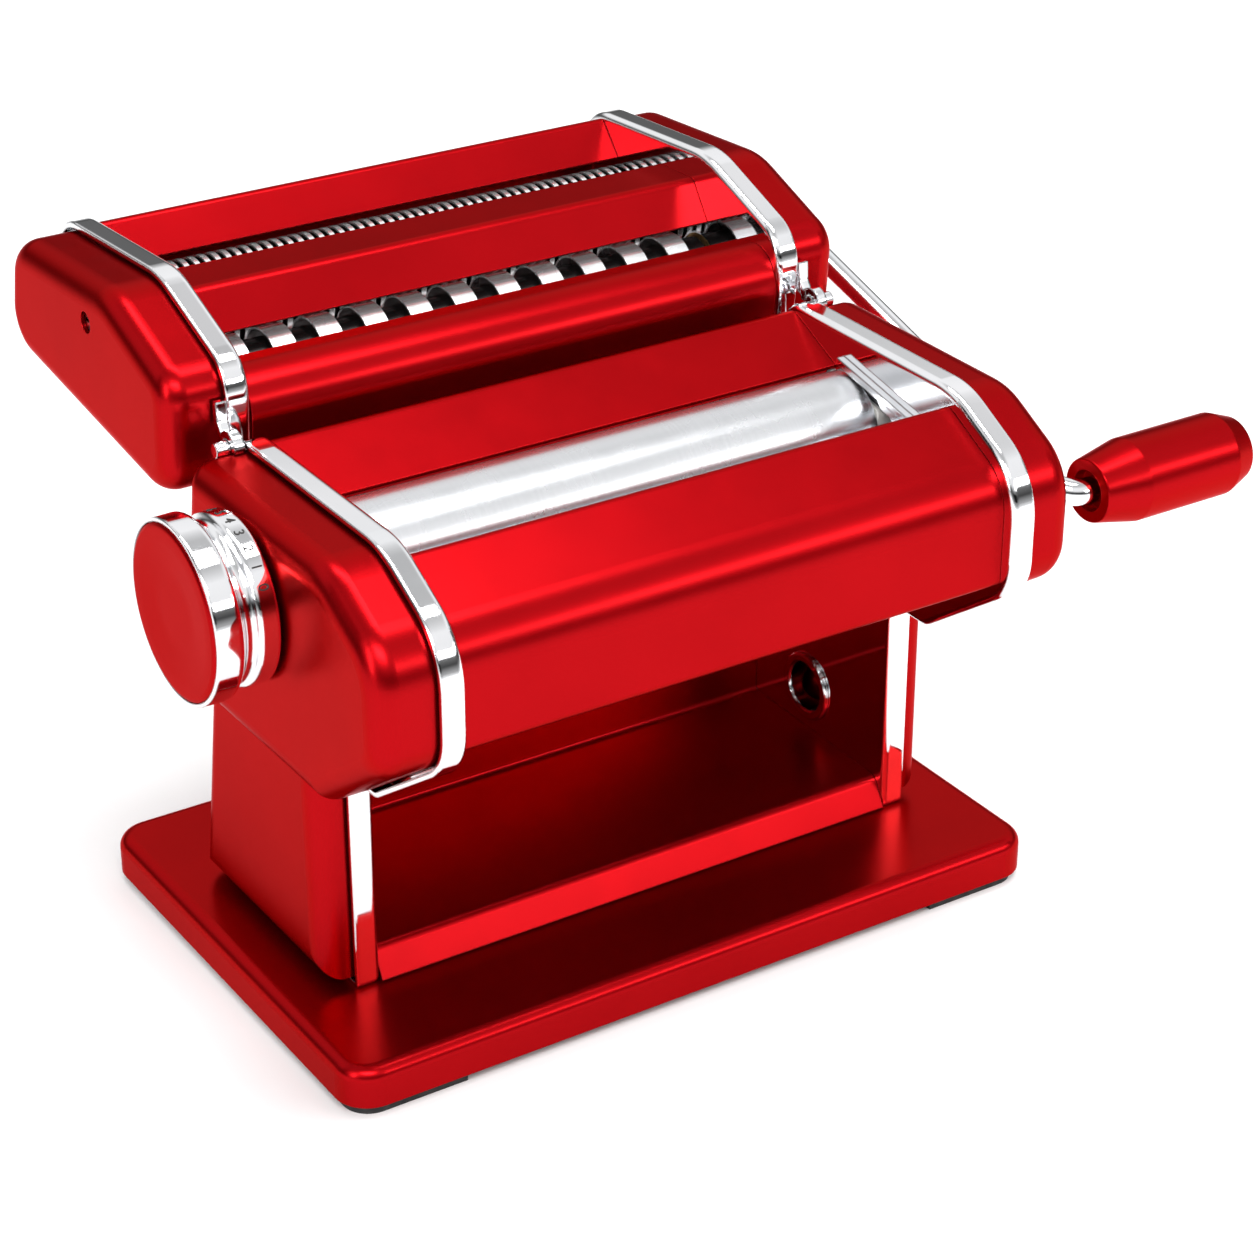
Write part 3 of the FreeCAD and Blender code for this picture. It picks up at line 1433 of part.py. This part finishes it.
def build():
    base_plate()
    rubber_feet()
    for side in (LEFT, RIGHT):
        side_frame(side)
        side_cover(side)
    front_hood()
    rear_hood()
    floor_panel()
    rods("body_tie_rods", BODY_RODS, ROD_END)
    rods("rear_rail", [REAR_RAIL], size("plate_wall"))
    nuts("body_tie_nuts", BODY_RODS)
    base_screws()
    clamp_socket()
    roller_guards()
    frame_face = size("plate_inner")
    journal = size("journal_radius")
    ring_group("front_roller_bushes", [FRONT_ROLLER], journal + size("running_fit"),
               journal + size("bush_wall"), frame_face, frame_face + 5.0)
    scraper("front_scraper", FRONT_ROLLER, -80.0, (-6.4, -19.7), size("plate_inner"))
    front_roller()
    roller_blocks()
    scraper("rear_scraper", REAR_ROLLER, -100.0, (6.4, -19.7), BLOCK_INNER)
    rear_roller()
    roller_gears()
    adjuster_shaft()
    adjuster_brackets()
    bracket_posts()
    index_pin()
    knob_body()
    knob_cap()
    knob_spring()
    hanger_pegs()
    hanger_hooks()
    for side in (LEFT, RIGHT):
        head_frame(side)
        head_cover(side)
    head_panels()
    head_cover_screws()
    rods("head_tie_rods", HEAD_RODS, ROD_END)
    nuts("head_tie_nuts", HEAD_RODS)
    ring_group("cutter_bushes", CUTTER_AXES, size("cutter_journal") + size("running_fit"),
               BUSH_OUTER, frame_face, frame_face + 5.0)
    cutters()
    cutter_gears()
    combs("wide_combs", (WIDE_FRONT, WIDE_REAR), size("wide_radius"), size("wide_strip"))
    combs("narrow_combs", (NARROW_FRONT, NARROW_REAR), size("narrow_radius"), size("narrow_strip"))
    crank_spigot()
    crank_rod()
    crank_grip()
    grip_retainer()


def move_to_middle():
    """Put the origin under the middle of the whole machine."""
    for part in parts:
        part.Placement.Base = part.Placement.Base - FreeCAD.Vector(MIDDLE_X, MIDDLE_Y, 0)
    doc.recompute()


def check():
    for item in doc.Objects:
        if "Invalid" in item.State or "Error" in item.State:
            raise RuntimeError("failed: " + item.Label)
    for part in parts:
        if part.Shape.isNull() or not part.Shape.isValid() or not part.Shape.Solids:
            raise RuntimeError("bad shape: " + part.Label)


def write():
    os.makedirs("parts", exist_ok=True)
    for part in parts:
        part.Shape.exportStep(os.path.join("parts", part.Label + ".step"))


build()
move_to_middle()
check()
write()
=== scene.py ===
import math

import bpy
from mathutils import Matrix, Vector


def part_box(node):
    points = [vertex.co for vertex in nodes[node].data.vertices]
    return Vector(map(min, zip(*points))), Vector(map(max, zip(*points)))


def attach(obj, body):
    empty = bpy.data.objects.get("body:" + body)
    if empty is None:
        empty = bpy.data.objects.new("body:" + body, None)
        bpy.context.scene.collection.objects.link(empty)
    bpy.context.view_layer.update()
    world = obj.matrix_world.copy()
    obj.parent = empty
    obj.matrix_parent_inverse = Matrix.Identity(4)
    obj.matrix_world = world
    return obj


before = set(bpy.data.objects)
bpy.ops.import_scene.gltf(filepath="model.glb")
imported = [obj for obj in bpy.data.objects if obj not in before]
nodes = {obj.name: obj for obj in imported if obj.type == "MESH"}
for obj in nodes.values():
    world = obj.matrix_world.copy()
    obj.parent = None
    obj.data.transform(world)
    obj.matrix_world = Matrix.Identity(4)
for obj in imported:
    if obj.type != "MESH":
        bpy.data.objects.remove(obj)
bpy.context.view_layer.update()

scene = bpy.context.scene

MM = 0.001


# ---------------------------------------------------------------- node helpers

# sockets of a colour mix, which share their names with its number sockets
MIX_FACTOR = 0
MIX_FIRST = 6
MIX_SECOND = 7
MIX_RESULT = 2

# most of a noise's values lie between these two
NOISE_FLOOR = 0.35
NOISE_CEILING = 0.65

# cosines between the rounded normal and the true one: fully on an edge, and clear of it
ON_EDGE = 0.90
OFF_EDGE = 0.995
EDGE_SAMPLES = 6

# how far apart the nodes stand in the node editor
COLUMN_WIDTH = 260
ROW_HEIGHT = 220
COLUMNS = 5


class Look:
    """A material being built: makes nodes, wires them and lays them out in columns."""

    def __init__(self, name):
        self.material = bpy.data.materials.new(name)
        self.material.use_nodes = True
        self.tree = self.material.node_tree
        self.shader = self.tree.nodes["Principled BSDF"]
        self.count = 0

    def node(self, kind, **settings):
        """A new node with the settings given."""
        made = self.tree.nodes.new(kind)
        self.count += 1
        column = self.count % COLUMNS + 1
        row = self.count // COLUMNS
        made.location = (-COLUMN_WIDTH * column, -ROW_HEIGHT * row)
        for name, value in settings.items():
            setattr(made, name, value)
        return made

    def wire(self, source, output, target, socket):
        """Join one node's output to another node's input."""
        self.tree.links.new(source.outputs[output], target.inputs[socket])

    def set(self, **values):
        """Set inputs of the shader, with _ for the spaces in their names."""
        for name, value in values.items():
            self.shader.inputs[name.replace("_", " ")].default_value = value

    def noise(self, scale, detail, stretch=None):
        """Noise in the piece's own coordinates, in cells per metre, stretched if asked."""
        coords = self.node("ShaderNodeTexCoord")
        noise = self.node("ShaderNodeTexNoise")
        noise.inputs["Scale"].default_value = scale
        noise.inputs["Detail"].default_value = detail
        if stretch:
            mapping = self.node("ShaderNodeMapping")
            mapping.inputs["Scale"].default_value = stretch
            self.wire(coords, "Object", mapping, "Vector")
            self.wire(mapping, "Vector", noise, "Vector")
        else:
            self.wire(coords, "Object", noise, "Vector")
        return noise

    def spread(self, source, output, low, high, floor=NOISE_FLOOR, ceiling=NOISE_CEILING):
        """Turn an output that runs from floor to ceiling into numbers from low to high."""
        spread = self.node("ShaderNodeMapRange")
        spread.inputs["From Min"].default_value = floor
        spread.inputs["From Max"].default_value = ceiling
        spread.inputs["To Min"].default_value = low
        spread.inputs["To Max"].default_value = high
        self.wire(source, output, spread, "Value")
        return spread

    def mix(self, mask, output, first, second):
        """Mix two colours by a mask. Each is a colour or another mix."""
        blend = self.node("ShaderNodeMix", data_type="RGBA")
        self.wire(mask, output, blend, MIX_FACTOR)
        for socket, colour in ((MIX_FIRST, first), (MIX_SECOND, second)):
            if isinstance(colour, bpy.types.Node):
                self.wire(colour, MIX_RESULT, blend, socket)
            else:
                blend.inputs[socket].default_value = colour
        return blend

    def clouds(self, source, first, second):
        """Mix two colours by a noise with the settings in source."""
        mask = self.spread(self.noise(*source), "Fac", 0.0, 1.0)
        return self.mix(mask, "Result", first, second)

    def colour(self, blend):
        """Use a mix as the shader's colour."""
        self.wire(blend, MIX_RESULT, self.shader, "Base Color")

    def roughness(self, source, low, high):
        """Roughness that wanders from low to high with a noise."""
        wander = self.spread(self.noise(*source), "Fac", low, high)
        self.wire(wander, "Result", self.shader, "Roughness")

    def soft_edges(self, radius):
        """Round every sharp edge in the shading, and find a mask of those edges."""
        bevel = self.node("ShaderNodeBevel", samples=EDGE_SAMPLES)
        bevel.inputs["Radius"].default_value = radius
        surface = self.node("ShaderNodeNewGeometry")
        compare = self.node("ShaderNodeVectorMath", operation="DOT_PRODUCT")
        self.wire(bevel, "Normal", compare, 0)
        self.wire(surface, "Normal", compare, 1)
        mask = self.spread(compare, "Value", 1.0, 0.0, ON_EDGE, OFF_EDGE)
        return bevel, mask

    def relief(self, source, strength, depth, under):
        """Fine relief from a noise, on top of the normal of the node under it."""
        bump = self.node("ShaderNodeBump")
        bump.inputs["Strength"].default_value = strength
        bump.inputs["Distance"].default_value = depth
        self.wire(self.noise(*source), "Fac", bump, "Height")
        self.wire(under, "Normal", bump, "Normal")
        self.wire(bump, "Normal", self.shader, "Normal")


# ---------------------------------------------------------------- materials

# noises, each with its cells per metre, its detail and, where it has one, its stretch
RED_CLOUDS = (26.0, 4.0)
RED_HAZE = (90.0, 5.0)
RED_GRAIN = (2600.0, 2.0)
CHROME_CLOUDS = (30.0, 3.0)
CHROME_WIPES = (70.0, 5.0, (1, 1, 6))
CHROME_WAVES = (45.0, 2.0)
LATHE_RINGS = (1.0, 2.0, (1800, 1, 1))
METAL_HAZE = (90.0, 4.0)
MOULDED_HAZE = (450.0, 4.0)
MOULDED_GRAIN = (1200.0, 3.0)
BRONZE_PORES = (1500.0, 2.0)
CARD_CLOUDS = (2.0, 3.0)

METAL_RELIEF_DEPTH = 0.05 * MM
CHROME_RELIEF_DEPTH = 0.1 * MM
MOULDED_RELIEF_DEPTH = 0.08 * MM


def coated_red():
    """Red anodised metal: satin, with a faint grain and paler worn edges."""
    deep_red = (0.355, 0.0012, 0.0036, 1)
    warm_red = (0.38, 0.0016, 0.0042, 1)
    worn_red = (0.56, 0.012, 0.014, 1)
    red_at_grazing = (0.85, 0.30, 0.31, 1)
    most_wear = 0.55
    look = Look("red_anodised")
    look.set(Metallic=0.96, Coat_Weight=0.05, Coat_Roughness=0.22, Specular_Tint=red_at_grazing)
    edge, mask = look.soft_edges(0.45 * MM)
    body = look.clouds(RED_CLOUDS, deep_red, warm_red)
    wear = look.spread(mask, "Result", 0.0, most_wear, floor=0.0, ceiling=1.0)
    look.colour(look.mix(wear, "Result", body, worn_red))
    look.roughness(RED_HAZE, low=0.295, high=0.32)
    look.relief(RED_GRAIN, strength=0.06, depth=METAL_RELIEF_DEPTH, under=edge)
    return look.material


def bright_chrome():
    """Polished chrome with faint wipe marks, and a painted dark reflection along its edges."""
    cool_chrome = (0.84, 0.85, 0.87, 1)
    pale_chrome = (0.90, 0.90, 0.92, 1)
    # near-black painted into the colour along the edges: a painted reflection of dark
    # surroundings, not a mark on the chrome
    painted_dark_edge = (0.05, 0.05, 0.055, 1)
    darkest_painted_edge = 0.8
    look = Look("polished_chrome")
    look.set(Metallic=1.0)
    edge, mask = look.soft_edges(0.8 * MM)
    body = look.clouds(CHROME_CLOUDS, cool_chrome, pale_chrome)
    painted_edge_mask = look.spread(mask, "Result", 0.0, darkest_painted_edge, floor=0.15, ceiling=0.7)
    look.colour(look.mix(painted_edge_mask, "Result", body, painted_dark_edge))
    look.roughness(CHROME_WIPES, low=0.025, high=0.075)
    look.relief(CHROME_WAVES, strength=0.05, depth=CHROME_RELIEF_DEPTH, under=edge)
    return look.material


def metal(name, dark, pale, roughness, tone, relief, strength, edge_radius):
    """Bare metal: two tones from one noise, relief from another, roughness in clouds."""
    look = Look(name)
    look.set(Metallic=1.0)
    edge, _ = look.soft_edges(edge_radius)
    look.colour(look.clouds(tone, dark, pale))
    look.roughness(METAL_HAZE, *roughness)
    look.relief(relief, strength, METAL_RELIEF_DEPTH, edge)
    return look.material


def roller_steel():
    """Satin nickel finish of the rollers, with fine rings from the lathe."""
    return metal("roller_steel", dark=(0.66, 0.67, 0.69, 1), pale=(0.69, 0.70, 0.72, 1),
                 roughness=(0.26, 0.28), tone=LATHE_RINGS, relief=LATHE_RINGS,
                 strength=0.015, edge_radius=0.3 * MM)


def plated_steel():
    """Zinc-plated steel of the screws, nuts and rods."""
    return metal("plated_steel", dark=(0.52, 0.52, 0.50, 1), pale=(0.70, 0.70, 0.68, 1),
                 roughness=(0.26, 0.42), tone=(140.0, 4.0), relief=(900.0, 3.0),
                 strength=0.12, edge_radius=0.2 * MM)


def gear_steel():
    """Dark oiled steel of the gears."""
    return metal("oiled_gear_steel", dark=(0.16, 0.155, 0.15, 1), pale=(0.28, 0.27, 0.26, 1),
                 roughness=(0.18, 0.42), tone=(160.0, 5.0), relief=(700.0, 3.0),
                 strength=0.15, edge_radius=0.2 * MM)


def bronze_bush():
    """Sintered bronze of the bushes: grainy, with darker pores."""
    return metal("bronze_bush", dark=(0.36, 0.22, 0.09, 1), pale=(0.62, 0.42, 0.18, 1),
                 roughness=(0.28, 0.46), tone=BRONZE_PORES, relief=BRONZE_PORES,
                 strength=0.2, edge_radius=0.2 * MM)


# how far below a disc's rim the metal of a cutter counts as groove, which gets painted shade
GROOVE_STEP = 0.7 * MM


def distance_to_axis(look, node):
    """A node with the distance from the axis, which runs along X through the piece's middle."""
    low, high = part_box(node)
    centre = (low + high) / 2
    split = look.node("ShaderNodeSeparateXYZ")
    look.wire(look.node("ShaderNodeTexCoord"), "Object", split, "Vector")
    across = look.node("ShaderNodeCombineXYZ")
    look.wire(split, "Y", across, "Y")
    look.wire(split, "Z", across, "Z")
    reach = look.node("ShaderNodeVectorMath", operation="DISTANCE")
    reach.inputs[1].default_value = (0, centre.y, centre.z)
    look.wire(across, "Vector", reach, 0)
    return reach


def cutter_steel(node):
    """Bright discs with painted shade in the grooves between them, told apart by distance to the
    axis.
    """
    # near-black painted shade for the recessed grooves between the discs
    painted_groove_shade = (0.035, 0.03, 0.03, 1)
    disc_dark = (0.90, 0.90, 0.91, 1)
    disc_pale = (0.97, 0.97, 0.98, 1)
    low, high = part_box(node)
    radius = (high.z - low.z) / 2
    look = Look(node + "_steel")
    look.set(Metallic=0.85)
    reach = distance_to_axis(look, node)
    on_disc = look.spread(reach, "Value", 0.0, 1.0, radius - GROOVE_STEP, radius - GROOVE_STEP / 2)
    discs = look.clouds(LATHE_RINGS, disc_dark, disc_pale)
    look.colour(look.mix(on_disc, "Result", painted_groove_shade, discs))
    look.roughness(METAL_HAZE, low=0.20, high=0.28)
    edge, _ = look.soft_edges(0.12 * MM)
    look.relief(LATHE_RINGS, strength=0.02, depth=METAL_RELIEF_DEPTH, under=edge)
    return look.material


def moulded(name, dark, pale, roughness, tone, strength, edge_radius):
    """Moulded plastic, rubber or thick paint."""
    look = Look(name)
    look.set(Specular_IOR_Level=0.4)
    edge, _ = look.soft_edges(edge_radius)
    look.colour(look.clouds(tone, dark, pale))
    look.roughness(MOULDED_HAZE, *roughness)
    look.relief(MOULDED_GRAIN, strength, MOULDED_RELIEF_DEPTH, edge)
    return look.material


def grey_plastic():
    """Off-white plastic of the blocks and scrapers."""
    return moulded("grey_plastic", dark=(0.60, 0.59, 0.56, 1), pale=(0.70, 0.69, 0.66, 1),
                   roughness=(0.42, 0.58), tone=(80.0, 4.0), strength=0.12, edge_radius=0.25 * MM)


def black_rubber():
    """Black rubber with dust in its grain."""
    return moulded("black_rubber", dark=(0.010, 0.010, 0.011, 1), pale=(0.032, 0.031, 0.030, 1),
                   roughness=(0.6, 0.85), tone=(220.0, 6.0), strength=0.35, edge_radius=0.4 * MM)


def dial_paint():
    """Black paint of the numerals, uneven where it is worn."""
    return moulded("dial_paint", dark=(0.010, 0.010, 0.010, 1), pale=(0.035, 0.033, 0.032, 1),
                   roughness=(0.35, 0.55), tone=(300.0, 5.0), strength=0.2, edge_radius=0.05 * MM)


# finishes, each with words in the names of the pieces that have it; a later entry wins
FINISHES = (
    (coated_red(), ("base_plate", "side_cover", "front_hood", "rear_hood", "floor_panel",
                    "head_cover", "panel", "knob_cap", "crank_grip")),
    (bright_chrome(), ("side_frame", "head_frame", "roller_guards", "hanger_", "knob_body",
                       "crank_rod", "crank_spigot", "clamp_socket")),
    (roller_steel(), ("front_roller", "rear_roller")),
    (plated_steel(), ("tie_rods", "rear_rail", "tie_nuts", "screws", "bracket", "index_pin",
                      "adjuster_shaft", "knob_spring", "grip_retainer", "combs")),
    (gear_steel(), ("gear", "head_cover_screws")),
    (bronze_bush(), ("bushes",)),
    (grey_plastic(), ("scraper", "roller_block")),
    (black_rubber(), ("rubber_feet",)),
)

CUTTERS = ("wide_cutter_front", "wide_cutter_rear", "narrow_cutter_front", "narrow_cutter_rear")


def finish_of(name):
    """The finish of a CAD node. Each cutter has its own, as it depends on its axis."""
    if name in CUTTERS:
        return cutter_steel(name)
    for material, words in reversed(FINISHES):
        if any(word in name for word in words):
            return material
    raise RuntimeError("no finish for " + name)


def dress_nodes():
    """Give every CAD node its finish."""
    for name, piece in nodes.items():
        piece.data.materials.clear()
        piece.data.materials.append(finish_of(name))


dress_nodes()


# ---------------------------------------------------------------- numbers on the knob

DIGITS = 10
DIGIT_HEIGHT = 3.6 * MM
DIGIT_DEPTH = 0.12 * MM

# the first numeral's place round the collar, and the angle from the first to the last
SCALE_START = math.radians(150)
SCALE_SWING = math.radians(120)

# the collar is this much smaller in radius than the knob's rim, and the numerals
# stand on it this far out from the knob's inner end
COLLAR_STEP = 1.6 * MM
COLLAR_INSIDE = 2.9 * MM


def dial_number(digit, place, turn, look):
    """One raised numeral as a mesh piece on the knob's collar."""
    curve = bpy.data.curves.new("dial_text", "FONT")
    curve.body = str(digit)
    curve.size = DIGIT_HEIGHT
    curve.extrude = DIGIT_DEPTH
    curve.align_x = "CENTER"
    curve.align_y = "CENTER"
    writing = bpy.data.objects.new("dial_text", curve)
    mesh = bpy.data.meshes.new_from_object(writing)
    bpy.data.objects.remove(writing)
    bpy.data.curves.remove(curve)
    mesh.transform(Matrix.Translation(place) @ turn)
    piece = bpy.data.objects.new("dial_number_%d" % digit, mesh)
    scene.collection.objects.link(piece)
    mesh.materials.clear()
    mesh.materials.append(look)
    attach(piece, "knob")


def dial_numbers():
    """Numerals round the collar, one for each setting, with their tops towards the body."""
    low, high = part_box("knob_body")
    axis_y = (low.y + high.y) / 2
    axis_z = (low.z + high.z) / 2
    collar = (high.z - low.z) / 2 - COLLAR_STEP
    across = high.x - COLLAR_INSIDE
    look = dial_paint()
    up = Vector((1, 0, 0))
    for digit in range(DIGITS):
        angle = SCALE_START - SCALE_SWING * digit / (DIGITS - 1)
        out = Vector((0, math.cos(angle), math.sin(angle)))
        right = up.cross(out)
        turn = Matrix((right, up, out)).transposed().to_4x4()
        place = Vector((across, axis_y, axis_z)) + out * collar
        dial_number(digit, place, turn, look)


dial_numbers()


# ---------------------------------------------------------------- studio

FLOOR_SIDE = 12.0

# what the cards and the lights face
CARDS_FACE = Vector((0, 0, 0.1))
LIGHTS_FACE = Vector((0, 0, 0.08))

# name, width, height and place of each black card, in metres
BLACK_CARDS = (
    ("black_card_left", 0.35, 1.2, (-1.3, 0.25, 0.6)),
    ("black_card_front", 1.2, 0.25, (-0.2, -1.4, 0.35)),
    ("black_card_right", 0.4, 1.0, (1.3, -0.6, 0.5)),
)

# name, width, height, place and power of each soft light, in metres and watts
SOFT_LIGHTS = (
    ("key_light", 1.1, 0.5, (-0.7, -1.2, 1.5), 20.0),
    ("top_light", 1.3, 0.35, (0.15, 0.1, 1.5), 14.0),
    ("front_light", 0.9, 0.22, (0.80, -1.25, 0.72), 4.5),
    ("side_light", 0.35, 0.9, (1.5, -0.7, 0.7), 8.0),
    ("left_light", 0.35, 0.9, (-1.5, -0.5, 0.7), 7.0),
)

# the sky's brightness at heights from 0, the horizon, to 1, straight up
SKY_STOPS = ((0.0, 0.42), (0.14, 0.06), (0.28, 0.16), (0.44, 0.95), (0.72, 1.0), (0.88, 0.55))


def grey(level):
    """A grey of one level in all three channels."""
    return (level, level, level, 1)


def facing(place, direction, axis):
    """The placement at a point that turns the axis given along a direction."""
    return Matrix.Translation(place) @ direction.to_track_quat(axis, "Y").to_matrix().to_4x4()


def card(name, width, height, place, towards, look):
    """A flat card facing a point."""
    mesh = bpy.data.meshes.new(name)
    x, y = width / 2, height / 2
    mesh.from_pydata([(-x, -y, 0), (x, -y, 0), (x, y, 0), (-x, y, 0)], [], [(0, 1, 2, 3)])
    made = bpy.data.objects.new(name, mesh)
    scene.collection.objects.link(made)
    made.matrix_world = facing(place, towards - Vector(place), "Z")
    mesh.materials.append(look)
    return made


def card_look(name, dark, pale, roughness):
    """Dull card in two close tones."""
    look = Look(name)
    look.set(Roughness=roughness, Specular_IOR_Level=0.1)
    look.colour(look.mix(look.noise(*CARD_CLOUDS), "Fac", dark, pale))
    return look.material


def soft_light(name, width, height, place, power):
    """A rectangular area light that faces the machine."""
    data = bpy.data.lights.new(name, "AREA")
    data.shape = "RECTANGLE"
    data.size = width
    data.size_y = height
    data.energy = power
    lamp = bpy.data.objects.new(name, data)
    scene.collection.objects.link(lamp)
    lamp.matrix_world = facing(place, LIGHTS_FACE - Vector(place), "-Z")


def sky():
    """A pale studio dome, with a dark band low down and a grey top."""
    world = bpy.data.worlds.new("studio_world")
    scene.world = world
    world.use_nodes = True
    tree = world.node_tree
    background = tree.nodes["Background"]
    background.inputs["Strength"].default_value = 1.0
    coords = tree.nodes.new("ShaderNodeTexCoord")
    split = tree.nodes.new("ShaderNodeSeparateXYZ")
    ramp = tree.nodes.new("ShaderNodeValToRGB")
    tree.links.new(coords.outputs["Generated"], split.inputs["Vector"])
    tree.links.new(split.outputs["Z"], ramp.inputs["Fac"])
    tree.links.new(ramp.outputs["Color"], background.inputs["Color"])
    elements = ramp.color_ramp.elements
    while len(elements) < len(SKY_STOPS):
        elements.new(1.0)
    for element, (height, brightness) in zip(elements, SKY_STOPS):
        element.position = height
        element.color = grey(brightness)


def studio():
    """Pale floor, sky, black cards for contrast and large soft lights."""
    pale = card_look("studio_floor", grey(0.88), grey(0.90), roughness=0.8)
    card("floor", FLOOR_SIDE, FLOOR_SIDE, (0, 0, 0), Vector((0, 0, 1)), pale)
    sky()
    black = card_look("studio_black", grey(0.004), grey(0.006), roughness=1.0)
    for name, width, height, place in BLACK_CARDS:
        dark = card(name, width, height, place, CARDS_FACE, black)
        dark.visible_camera = False
        dark.visible_shadow = False
        dark.visible_diffuse = False
    for light in SOFT_LIGHTS:
        soft_light(*light)


# ---------------------------------------------------------------- camera

LENS = 91.15
SENSOR_WIDTH = 36.0
NEAREST = 0.01

# the camera stands this far from the point on the floor under the base plate's middle
CAMERA_FROM_BASE = Vector((-0.3749, -0.6103, 0.4486))
CAMERA_LOOKS = Vector((0.4796, 0.7451, -0.4636))


def camera():
    """The camera, placed and turned to show the machine as the photo does."""
    low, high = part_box("base_plate")
    under_base = Vector(((low.x + high.x) / 2, (low.y + high.y) / 2, 0))
    data = bpy.data.cameras.new("camera")
    data.lens = LENS
    data.sensor_width = SENSOR_WIDTH
    data.clip_start = NEAREST
    seat = bpy.data.objects.new("camera", data)
    scene.collection.objects.link(seat)
    seat.matrix_world = facing(CAMERA_FROM_BASE + under_base, CAMERA_LOOKS, "-Z")
    scene.camera = seat


studio()
camera()

scene.view_settings.view_transform = "Standard"
